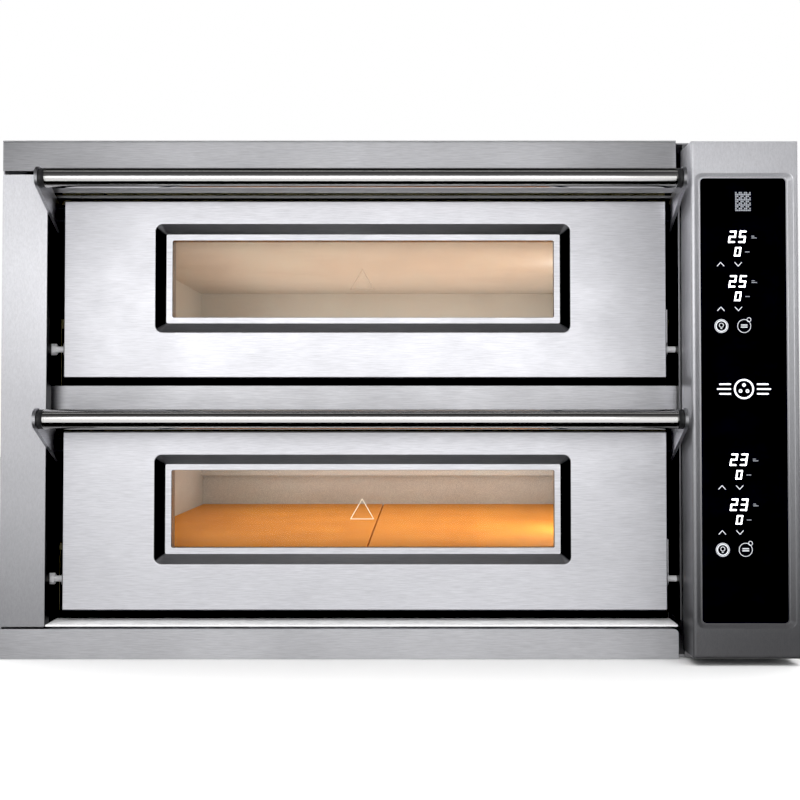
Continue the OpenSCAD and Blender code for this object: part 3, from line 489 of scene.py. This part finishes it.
for deck in DECKS:
    lo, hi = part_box(deck + "_door_skin")
    glass_lo, glass_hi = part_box(deck + "_outer_glass")
    mouth_lo = (glass_lo.x - BEVEL_W, glass_lo.z - BEVEL_W)
    mouth_hi = (glass_hi.x + BEVEL_W, glass_hi.z + BEVEL_W)
    flange = hi.y - lo.y
    behind = SKIN_T * math.tan(math.atan2(BEVEL_D, BEVEL_W) / 2)
    folded_edge = filleted([(0, flange, 0), (0, 0, 1.6 * MM), (REACH, 0, 0)], 5)
    recess = filleted([
        (-LAND, 0, 0), (0, 0, 2.6 * MM), (BEVEL_W, BEVEL_D, 1.4 * MM),
        (BEVEL_W + LIP_W, BEVEL_D, 0.5 * MM), (BEVEL_W + LIP_W, BEVEL_D + SKIN_T, 0),
        (BEVEL_W - behind, BEVEL_D + SKIN_T, 0), (-behind, SKIN_T, 0), (-LAND, SKIN_T, 0)], 5)
    rings = outline_rings(lo, hi, folded_edge, 1.0 * MM)
    rings += mouth_rings(mouth_lo, mouth_hi, lo.y, recess, BEVEL_W, GLASS_R)
    rings += outline_rings(lo, hi, [(REACH, SKIN_T), (SKIN_T, SKIN_T), (SKIN_T, flange)], 0.4 * MM)
    skin = finished(deck + "_door_pressing", loft(rings), deck + "_door_skin", sharp=50.0)
    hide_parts(deck + "_door_skin")


# ---------- handles ----------

TUBE_WALL = 2 * MM
BORE_DEPTH = 12 * MM
END_RING = 2.4 * MM
GROOVE_W = 0.5 * MM
GROOVE_D = 0.35 * MM
EDGE = 0.2 * MM
COLLAR_W = 7 * MM
COLLAR_BORE_R = 3.2 * MM

for deck in DECKS:
    lo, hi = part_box(deck + "_handle_tube")
    y, z, r = (lo.y + hi.y) / 2, (lo.z + hi.z) / 2, (hi.z - lo.z) / 2
    bore = r - TUBE_WALL
    tube_end = [  # (distance in from the tube's end, radius)
        (BORE_DEPTH, bore), (EDGE, bore), (0, bore + EDGE), (0, r - 0.7 * MM), (EDGE, r - 0.25 * MM),
        (0.7 * MM, r), (END_RING, r), (END_RING + EDGE / 2, r - GROOVE_D),
        (END_RING + GROOVE_W, r - GROOVE_D), (END_RING + GROOVE_W + EDGE, r)]
    profile = [(lo.x + run, radius) for run, radius in tube_end]
    profile += [(hi.x - run, radius) for run, radius in reversed(tube_end)]
    tube = finished(deck + "_handle_bar", lathe_x(profile, y, z, 72), deck + "_handle_tube", sharp=30.0)
    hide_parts(deck + "_handle_tube")

    lo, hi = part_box(deck + "_handle_spacers")
    bm = bmesh.new()
    for x0 in (lo.x, hi.x - COLLAR_W):
        x1 = x0 + COLLAR_W
        rim, crown, waist = r - 0.6 * MM, r - 0.1 * MM, r - 0.4 * MM
        path = [(x0, COLLAR_BORE_R), (x0, rim), (x0 + 2 * EDGE, crown), (x0 + 2 * MM, waist),
                (x0 + COLLAR_W / 2, rim), (x1 - 2 * MM, waist), (x1 - 2 * EDGE, crown), (x1, rim),
                (x1, COLLAR_BORE_R)]
        collar = lathe_x(path, y, z, 64)
        spare = bpy.data.meshes.new("spare")
        collar.to_mesh(spare)
        bm.from_mesh(spare)
        collar.free()
        bpy.data.meshes.remove(spare)
    collars = finished(deck + "_handle_collars", bm, deck + "_handle_spacers", sharp=40.0)
    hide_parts(deck + "_handle_spacers")


# ---------- control column ----------

lo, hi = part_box("control_column")
panel_lo, panel_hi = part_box("touch_glass")
BORDER_W = 8 * MM
BORDER_H = 5.8 * MM
COLUMN_T = 2 * MM
SQUASH = 0.72        # the recess's bevel is narrower above and below the glass than beside it
recess_lo = (panel_lo.x - BORDER_W, panel_lo.z - BORDER_H)
recess_hi = (panel_hi.x + BORDER_W, panel_hi.z + BORDER_H)
depth = panel_lo.y - lo.y
flange = hi.y - lo.y
folded_edge = filleted([(0, flange, 0), (0, 0, 3.6 * MM), (4.1 * MM, 0, 0)], 6)
recess = filleted([
    (-0.8 * MM, 0, 0), (0, 0, 1.6 * MM), (5.6 * MM, depth, 1.2 * MM), (7.7 * MM, depth, 0),
    (7.7 * MM, depth + COLUMN_T, 0), (4.6 * MM, depth + COLUMN_T, 0), (-1.2 * MM, COLUMN_T, 0)], 5)
rings = outline_rings(lo, hi, folded_edge, 2.0 * MM)
rings += mouth_rings(recess_lo, recess_hi, lo.y, recess, BORDER_W, 5 * MM, SQUASH)
rings += outline_rings(lo, hi, [(3 * MM, COLUMN_T), (COLUMN_T, 3 * MM), (COLUMN_T, flange)], 1.0 * MM)
column = finished("control_column_pressing", loft(rings), "control_column", sharp=50.0)
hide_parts("control_column")


# ---------- touch panel marks ----------

MARK_T = 0.08 * MM
lit = glowing("lit_legend", (1.0, 1.0, 1.0), 1.4)
# Painted light: the printed and faint legends are print, yet glow a little.
printed = glowing("printed_legend_painted_glow", (0.70, 0.72, 0.76), 0.34)
faint = glowing("faint_legend_painted_glow", (0.36, 0.38, 0.42), 0.14)

SEGMENTS = {"0": "abcdef", "2": "abdeg", "3": "abcdg", "5": "acdfg"}
SEGMENT_ENDS = {
    "a": ((0, 1), (1, 1)), "b": ((1, 1), (1, 0.5)), "c": ((1, 0.5), (1, 0)), "d": ((0, 0), (1, 0)),
    "e": ((0, 0), (0, 0.5)), "f": ((0, 0.5), (0, 1)), "g": ((0, 0.5), (1, 0.5)),
}
SLANT = 0.16


class Marks:
    """Thin flat marks that share one mesh and lie just in front of a glass, in the plane at y."""

    def __init__(self, y):
        self.y = y
        self.bm = bmesh.new()

    def band(self, a, b):
        """Faces between two closed loops of vertices."""
        for i in range(len(a)):
            j = (i + 1) % len(a)
            self.bm.faces.new((a[i], a[j], b[j], b[i]))

    def slab(self, outline):
        """A mark from an outline of (x, z)."""
        front = [self.bm.verts.new((x, self.y - MARK_T, z)) for x, z in outline]
        back = [self.bm.verts.new((x, self.y, z)) for x, z in outline]
        self.bm.faces.new(front)
        self.bm.faces.new(back[::-1])
        self.band(front, back)

    def stroke(self, a, b, width):
        """A straight mark with rounded ends from a to b."""
        a, b = Vector(a), Vector(b)
        turn = math.atan2(b.y - a.y, b.x - a.x)
        outline = []
        for end, start in ((b, -90), (a, 90)):
            for k in range(7):
                t = turn + math.radians(start + 30 * k)
                outline.append((end.x + math.cos(t) * width / 2, end.y + math.sin(t) * width / 2))
        self.slab(outline)

    def hoop(self, centre, radius, width, sides=40):
        """A flat round ring."""
        x, z = centre
        turns = [2 * math.pi * i / sides for i in range(sides)]
        loops = [[self.bm.verts.new((x + r * math.cos(a), y, z + r * math.sin(a))) for a in turns]
                 for r in (radius - width / 2, radius + width / 2) for y in (self.y - MARK_T, self.y)]
        for a, b in ((0, 2), (2, 3), (3, 1), (1, 0)):
            self.band(loops[a], loops[b])

    def digit(self, char, x, z, width, height, bold):
        """One seven-segment numeral whose lower left corner is at x, z."""
        for name in SEGMENTS[char]:
            points = []
            for u, v in SEGMENT_ENDS[name]:
                pz = z + bold / 2 + v * (height - bold)
                points.append((x + bold / 2 + u * (width - bold) + (pz - z) * SLANT, pz))
            self.stroke(*points, bold)

    def done(self, name, material, node="touch_glass"):
        """Turns the marks into one piece on a node."""
        obj = finished(name, self.bm, node, material=material)
        obj.modifiers.clear()


PANEL_MARK_Y = panel_lo.y - 0.1 * MM
READOUT_X = 430 * MM
GROUPS = (("upper", 534 * MM, "25"), ("lower", 255 * MM, "23"))
ROW_DROP = 56 * MM
KEYS_DROP = 112 * MM
DIGIT_PITCH = 12.6 * MM
FIGURE = (8.6 * MM, 15.2 * MM, 2.1 * MM)       # width, height and stroke of a numeral
SMALL_FIGURE = (7.8 * MM, 11.6 * MM, 1.9 * MM)
HAIR, FINE, BOLD = 0.7 * MM, 0.9 * MM, 1.3 * MM


def readout_row(numbers, arrows, tags, row, figures):
    """Two large figures over a small one, with their unit tags and the pair of arrows below."""
    for k, char in enumerate(figures):
        numbers.digit(char, READOUT_X + (k - 1) * DIGIT_PITCH, row - 7.6 * MM, *FIGURE)
    numbers.digit("0", READOUT_X - 5.4 * MM, row - 24.6 * MM, *SMALL_FIGURE)
    for start, end, drop in ((17, 23, 1.4), (17, 20, -0.8), (9, 14, 19)):
        tags.stroke((READOUT_X + start * MM, row - drop * MM), (READOUT_X + end * MM, row - drop * MM), FINE)
    for x, rise in ((READOUT_X - 22 * MM, 1), (READOUT_X, -1)):
        tip = (x, row - 34.5 * MM + rise * 2.4 * MM)
        for turn in (-1, 1):
            arrows.stroke(tip, (x + turn * 4.2 * MM, tip[1] - rise * 4.6 * MM), FINE)


def touch_keys(keys, z):
    """Two round keys: one with a lamp sign, one with two bars and a small ring at its shoulder."""
    lamp_x, bars_x = READOUT_X - 21.5 * MM, READOUT_X + 7 * MM
    keys.hoop((lamp_x, z), 8.2 * MM, HAIR)
    keys.hoop((lamp_x, z), 6.6 * MM, BOLD)
    keys.hoop((lamp_x, z + 1 * MM), 2.6 * MM, HAIR)
    keys.stroke((lamp_x - 0.8 * MM, z - 3.2 * MM), (lamp_x + 0.8 * MM, z - 3.2 * MM), 0.8 * MM)
    keys.hoop((bars_x, z), 8.2 * MM, HAIR)
    keys.hoop((bars_x + 6 * MM, z + 8 * MM), 2.5 * MM, HAIR, 24)
    for k in (-1, 1):
        keys.stroke((bars_x - 3.6 * MM, z + k * 1.3 * MM), (bars_x + 3.6 * MM, z + k * 1.3 * MM), BOLD)


for label, top, figures in GROUPS:
    numbers, arrows, keys, tags = (Marks(PANEL_MARK_Y) for _ in range(4))
    for row in (top, top - ROW_DROP):
        readout_row(numbers, arrows, tags, row, figures)
    touch_keys(keys, top - KEYS_DROP)
    numbers.done(label + "_readouts", lit)
    arrows.done(label + "_arrows", printed)
    keys.done(label + "_touch_keys", printed)
    tags.done(label + "_tags", faint)

LATTICE_X, LATTICE_Z = 436.5 * MM, 578.4 * MM
LATTICE_COLUMNS, LATTICE_ROWS = 9, 11
CELL_PITCH, CELL_HALF = 2.2 * MM, 0.85 * MM
lattice = Marks(PANEL_MARK_Y)
for i in range(LATTICE_COLUMNS):
    for j in range(LATTICE_ROWS):
        if (i * j) % 3 != 1:
            x = LATTICE_X + (i - LATTICE_COLUMNS // 2) * CELL_PITCH
            z = LATTICE_Z + (j - LATTICE_ROWS // 2) * CELL_PITCH
            west, east, low, high = x - CELL_HALF, x + CELL_HALF, z - CELL_HALF, z + CELL_HALF
            lattice.slab([(west, low), (east, low), (east, high), (west, high)])
lattice.done("sensor_lattice", faint)

BADGE_X, BADGE_Z = 436.2 * MM, 343.2 * MM
badge = Marks(PANEL_MARK_Y)
badge.hoop((BADGE_X, BADGE_Z), 11.5 * MM, 2.2 * MM, 56)
for k in range(3):
    a = math.radians(90 + 120 * k)
    badge.hoop((BADGE_X + 5 * MM * math.cos(a), BADGE_Z + 5 * MM * math.sin(a)), 1.6 * MM, 1.4 * MM, 24)
for turn in (-1, 1):
    for k in (-1, 0, 1):
        z = BADGE_Z + k * 6 * MM
        badge.stroke((BADGE_X + turn * 17 * MM, z), (BADGE_X + turn * (33 - 3 * abs(k)) * MM, z), 2.0 * MM)
# Painted light: the badge is print, yet glows.
badge.done("plain_pizza_sign", glowing("badge_print_painted_glow", (0.85, 0.86, 0.90), 0.75))


# ---------- triangles printed on the windows ----------

TRIANGLE_R = 17.4 * MM
# Painted light: the window prints glow a little though they are only print.
print_glows = {"upper": glowing("brown_print_painted_glow", (0.40, 0.30, 0.21), 0.16),
          "lower": glowing("cream_print_painted_glow", (0.93, 0.84, 0.68), 0.40)}
for deck in DECKS:
    lo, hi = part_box(deck + "_outer_glass")
    x = (lo.x + hi.x) / 2 - 1 * MM
    z = (lo.z + hi.z) / 2 - 4.5 * MM
    triangle = Marks(lo.y - 0.02 * MM)
    points = [(x + TRIANGLE_R * math.cos(a), z + TRIANGLE_R * math.sin(a))
              for a in (math.radians(degrees) for degrees in (90, 210, 330))]
    for i in range(3):
        triangle.stroke(points[i], points[(i + 1) % 3], HAIR)
    triangle.done(deck + "_window_print", print_glows[deck], deck + "_outer_glass")


# ---------- sheet metal, stones and fittings with broken edges ----------

# Width in mm of the round on each node's edges.
SOFT_EDGES = {
    "base_tray": 0.5, "left_side_panel": 0.5, "right_side_panel": 0.5, "top_cover": 0.6, "rear_panel": 0.5,
    "top_fascia": 0.6, "upper_header": 0.3, "middle_fascia": 0.5, "bottom_fascia": 0.6, "drip_ledge": 0.6,
    "left_pillar": 0.6, "hinge_jambs": 0.25, "bay_partition": 0.4, "mouth_frames": 0.4, "baking_stones": 1.2,
    "upper_door_arms": 0.6, "lower_door_arms": 0.6, "upper_door_liner": 0.5, "lower_door_liner": 0.5,
    "pivot_pins": 0.4, "cable_gland": 0.4, "terminal_block": 0.6,
}
for node_name, width in SOFT_EDGES.items():
    softened(node_name, width * MM)


HEAD_H = 1.5 * MM
HEAD_SIDES = 24
HEAD_PROFILE = (  # (share of the radius, share of the height, 1 on the hexagon socket)
    (1, 0, 0), (1, 0.4, 0), (0.93, 0.7, 0), (0.76, 0.92, 0), (0.52, 1, 0), (0.44, 1, 1), (0.40, 0.35, 1))


def button_head(bm, lo, hi):
    """A socket screw's domed head at the outer end of a box, its hexagon facing away from the casing."""
    size = hi - lo
    axis = min(range(3), key=lambda k: size[k])
    centre = (lo + hi) / 2
    radius = max(size) / 2
    out = 1 if centre[axis] > (CAD_BOX[0][axis] + CAD_BOX[1][axis]) / 2 else -1
    base = (hi if out > 0 else lo)[axis] - out * HEAD_H
    across = [k for k in range(3) if k != axis]
    loops = []
    for share, rise, socket in HEAD_PROFILE:
        loop = []
        for i in range(HEAD_SIDES):
            a = 2 * math.pi * i / HEAD_SIDES
            inset = math.cos(math.pi / 6) / math.cos(a % (math.pi / 3) - math.pi / 6) if socket else 1
            point = Vector(centre)
            point[across[0]] += radius * share * inset * math.cos(a)
            point[across[1]] += radius * share * inset * math.sin(a)
            point[axis] = base + out * HEAD_H * rise
            loop.append(bm.verts.new(point))
        loops.append(loop)
    for a, b in zip(loops, loops[1:]):
        for i in range(HEAD_SIDES):
            j = (i + 1) % HEAD_SIDES
            bm.faces.new((a[i], a[j], b[j], b[i]))
    bm.faces.new(loops[0][::-1])
    bm.faces.new(loops[-1])


def solid_boxes(node):
    """The box of each separate solid of a CAD node."""
    bm = bmesh.new()
    bm.from_mesh(NODES[node].data)
    bmesh.ops.remove_doubles(bm, verts=bm.verts, dist=MERGE)
    boxes, seen = [], set()
    for seed in bm.verts:
        if seed in seen:
            continue
        island, queue = [], [seed]
        seen.add(seed)
        while queue:
            vert = queue.pop()
            island.append(vert.co)
            for edge in vert.link_edges:
                other = edge.other_vert(vert)
                if other not in seen:
                    seen.add(other)
                    queue.append(other)
        boxes.append([Vector([pick(c[k] for c in island) for k in range(3)]) for pick in (min, max)])
    bm.free()
    return boxes


heads = bmesh.new()
for lo, hi in solid_boxes("casing_screws"):
    button_head(heads, lo, hi)
screws = finished("casing_screw_heads", heads, "casing_screws", sharp=40.0)
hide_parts("casing_screws")

# The baffle strip under the top fascia takes the darker inner steel: painted shade under the fascia.
BAFFLE_DROP = 24 * MM
header = bpy.data.objects["upper_header_formed"].data
header.materials.append(inner_steel)
baffle_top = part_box("top_fascia")[0].z - BAFFLE_DROP
for face in header.polygons:
    if face.center.z < baffle_top:
        face.material_index = 1


# ---------- studio ----------

def floor():
    """A pale floor a hair below the oven, left out of reflections, that blocks no light."""
    bm = bmesh.new()
    bmesh.ops.create_grid(bm, x_segments=2, y_segments=2, size=6.0)
    mesh = bpy.data.meshes.new("studio_floor")
    bm.to_mesh(mesh)
    bm.free()
    obj = bpy.data.objects.new("studio_floor", mesh)
    bpy.context.scene.collection.objects.link(obj)
    obj.location.z = -0.0004
    s = Shader("studio_floor")
    s.set(Base_Color=s.tint((0.9, 0.9, 0.9), s.span(s.noise((3.0, 3.0, 3.0)), 0.98, 1.0)), Roughness=0.9)
    dress(obj, s.material)
    obj.visible_glossy = False
    obj.visible_shadow = False


floor()


def studio_world():
    """Light to reflect: a bright band in front at eye level, a wide glow behind, dark above and below.

    The camera itself sees plain white.
    """
    world = bpy.data.worlds.new("studio")
    bpy.context.scene.world = world
    world.use_nodes = True
    tree = world.node_tree
    background = tree.nodes["Background"]
    add = tree.nodes.new
    link = tree.links.new

    coord = add("ShaderNodeTexCoord")
    split = add("ShaderNodeSeparateXYZ")
    link(coord.outputs["Generated"], split.inputs[0])

    def ramp(source, stops):
        """Levels of grey at stops along a direction that runs from -1 to 1."""
        place = add("ShaderNodeMapRange")
        place.inputs["From Min"].default_value = -1.0
        link(source, place.inputs["Value"])
        node = add("ShaderNodeValToRGB")
        link(place.outputs["Result"], node.inputs[0])
        cells = node.color_ramp.elements
        for i, (at, level) in enumerate(stops):
            cell = cells[i] if i < 2 else cells.new(0.5)
            cell.position = (at + 1) / 2
            cell.color = (level, level, level, 1)
        return node.outputs["Color"]

    def product(a, b):
        node = add("ShaderNodeVectorMath")
        node.operation = "MULTIPLY"
        link(a, node.inputs[0])
        link(b, node.inputs[1])
        return node.outputs[0]

    height = ramp(split.outputs["Z"], (
        (-1.0, 0.01), (-0.34, 0.02), (-0.16, 0.7), (0.0, 0.9), (0.14, 1.0), (0.28, 0.4), (0.40, 0.03),
        (1.0, 0.02)))
    sides = ramp(split.outputs["X"], (
        (-1.0, 0.7), (-0.8, 0.5), (-0.62, 0.1), (-0.40, 0.6), (0.05, 1.0), (0.36, 0.5), (0.62, 0.1),
        (1.0, 0.7)))
    front = ramp(split.outputs["Y"], ((-1.0, 0.34), (-0.2, 0.34), (0.0, 0.0), (1.0, 0.0)))
    behind = ramp(split.outputs["Y"], ((-1.0, 0.0), (-0.16, 0.0), (0.16, 0.7), (1.0, 0.7)))
    upper = ramp(split.outputs["Z"], (
        (-1.0, 0.5), (-0.2, 0.9), (0.1, 1.0), (0.55, 0.8), (0.75, 0.05), (1.0, 0.05)))
    total = add("ShaderNodeVectorMath")
    total.operation = "ADD"
    link(product(product(height, sides), front), total.inputs[0])
    link(product(behind, upper), total.inputs[1])
    light = total.outputs[0]

    path = add("ShaderNodeLightPath")
    glow = add("ShaderNodeBackground")
    glow.inputs["Strength"].default_value = 1.0
    link(light, glow.inputs["Color"])
    background.inputs["Color"].default_value = (1, 1, 1, 1)
    background.inputs["Strength"].default_value = 1.0
    mix = add("ShaderNodeMixShader")
    link(path.outputs["Is Camera Ray"], mix.inputs[0])
    link(glow.outputs[0], mix.inputs[1])
    link(background.outputs[0], mix.inputs[2])
    link(mix.outputs[0], tree.nodes["World Output"].inputs["Surface"])


studio_world()


def area(name, place, target, size, power, colour=(1, 1, 1)):
    """A soft rectangular light at a place, aimed at a target, of a size in metres and a power in watts."""
    data = bpy.data.lights.new(name, "AREA")
    data.shape = "RECTANGLE"
    data.size, data.size_y = size
    data.energy = power
    data.color = colour
    obj = bpy.data.objects.new(name, data)
    obj.location = place
    obj.rotation_euler = (Vector(target) - Vector(place)).to_track_quat("-Z", "Y").to_euler()
    obj.visible_camera = False
    bpy.context.scene.collection.objects.link(obj)
    return obj


overhead = area("overhead_softbox", (0, -0.8, 2.6), (0, -0.5, 0), (4.0, 3.0), 60)
overhead.visible_glossy = False
ceiling = area("ceiling", (0, 0, 5.0), (0, 0, 0), (13.0, 13.0), 700)
ceiling.visible_glossy = False
area("rear_softbox", (0.3, 2.6, 1.1), (0, 0.4, 0.3), (3.0, 1.6), 18)
for name, x in (("left", -2.6), ("right", 2.6)):
    area(name + "_softbox", (x, 0.7, 1.0), (0, 0.2, 0.3), (2.0, 1.4), 9)
strip = area("overhead_strip", (0, -1.1, 2.6), (0, -0.5, 0), (3.2, 0.35), 1.6)
strip.visible_diffuse = False
area("front_panel", (-0.19, -1.42, 0.18), (-0.19, 0, 0.18), (1.62, 1.16), 4.9)
area("front_panel_core", (-0.14, -1.40, 0.57), (-0.14, 0, 0.57), (1.15, 0.38), 1.7)

# In each chamber: a lamp beside its lens, one glow that lights the stones and one that lights the roof.
# A lamp has a power, and a glow a power and a colour.
LAMP_TINT = (0.92, 1.0, 1.10)
CHAMBER_LIGHT = {
    "upper": {"lamp": 0.12, "down": (0.22, (0.80, 1.0, 1.25)), "up": (0.98, (0.88, 0.91, 0.91))},
    "lower": {"lamp": 0.32, "down": (0.44, LAMP_TINT), "up": (0.90, LAMP_TINT)},
}
GLOW_HEIGHT = {"down": 0.110, "up": 0.012}      # above the foot of the window
GLOW_TARGET_Z = {"down": 0.0, "up": 2.0}
GLOW_SIZE = (0.62, 0.62)
LAMP_R = 0.022
for deck, levels in CHAMBER_LIGHT.items():
    lens_lo, lens_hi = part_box("lamp_lenses")
    mouth_lo, mouth_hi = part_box(deck + "_outer_glass")
    lamp = bpy.data.lights.new(deck + "_chamber_lamp", "POINT")
    lamp.energy = levels["lamp"]
    lamp.color = LAMP_TINT
    lamp.shadow_soft_size = LAMP_R
    lamp_object = bpy.data.objects.new(deck + "_chamber_lamp", lamp)
    lamp_object.location = (lens_lo.x - 0.03, (lens_lo.y + lens_hi.y) / 2, mouth_hi.z - 0.035)
    bpy.context.scene.collection.objects.link(lamp_object)
    for name in ("down", "up"):
        power, tint = levels[name]
        glow = area(f"{deck}_{name}_glow", (0.0, 0.0, mouth_lo.z + GLOW_HEIGHT[name]),
                    (0.0, 0.0, GLOW_TARGET_Z[name]), GLOW_SIZE, power, tint)
        glow.visible_transmission = False
        glow.visible_glossy = False


# ---------- camera ----------

# Solved from the photograph's edges: almost level, about 1.45 m in front of the doors.
TILT_DEGREES = 1.36
camera_data = bpy.data.cameras.new("camera")
camera_data.sensor_width = 36.0
camera_data.lens = 50.19
camera_data.shift_x = -0.0225
camera_data.shift_y = -0.0181
camera_data.clip_start = 0.05
camera = bpy.data.objects.new("camera", camera_data)
camera.location = (0.029, -1.853, 0.3145)
camera.rotation_euler = (math.radians(90 + TILT_DEGREES), 0, 0)
bpy.context.scene.collection.objects.link(camera)
bpy.context.scene.camera = camera

view = bpy.context.scene.view_settings
view.view_transform = "Standard"
view.use_curve_mapping = True
view.curve_mapping.black_level = (0.006, 0.006, 0.006)
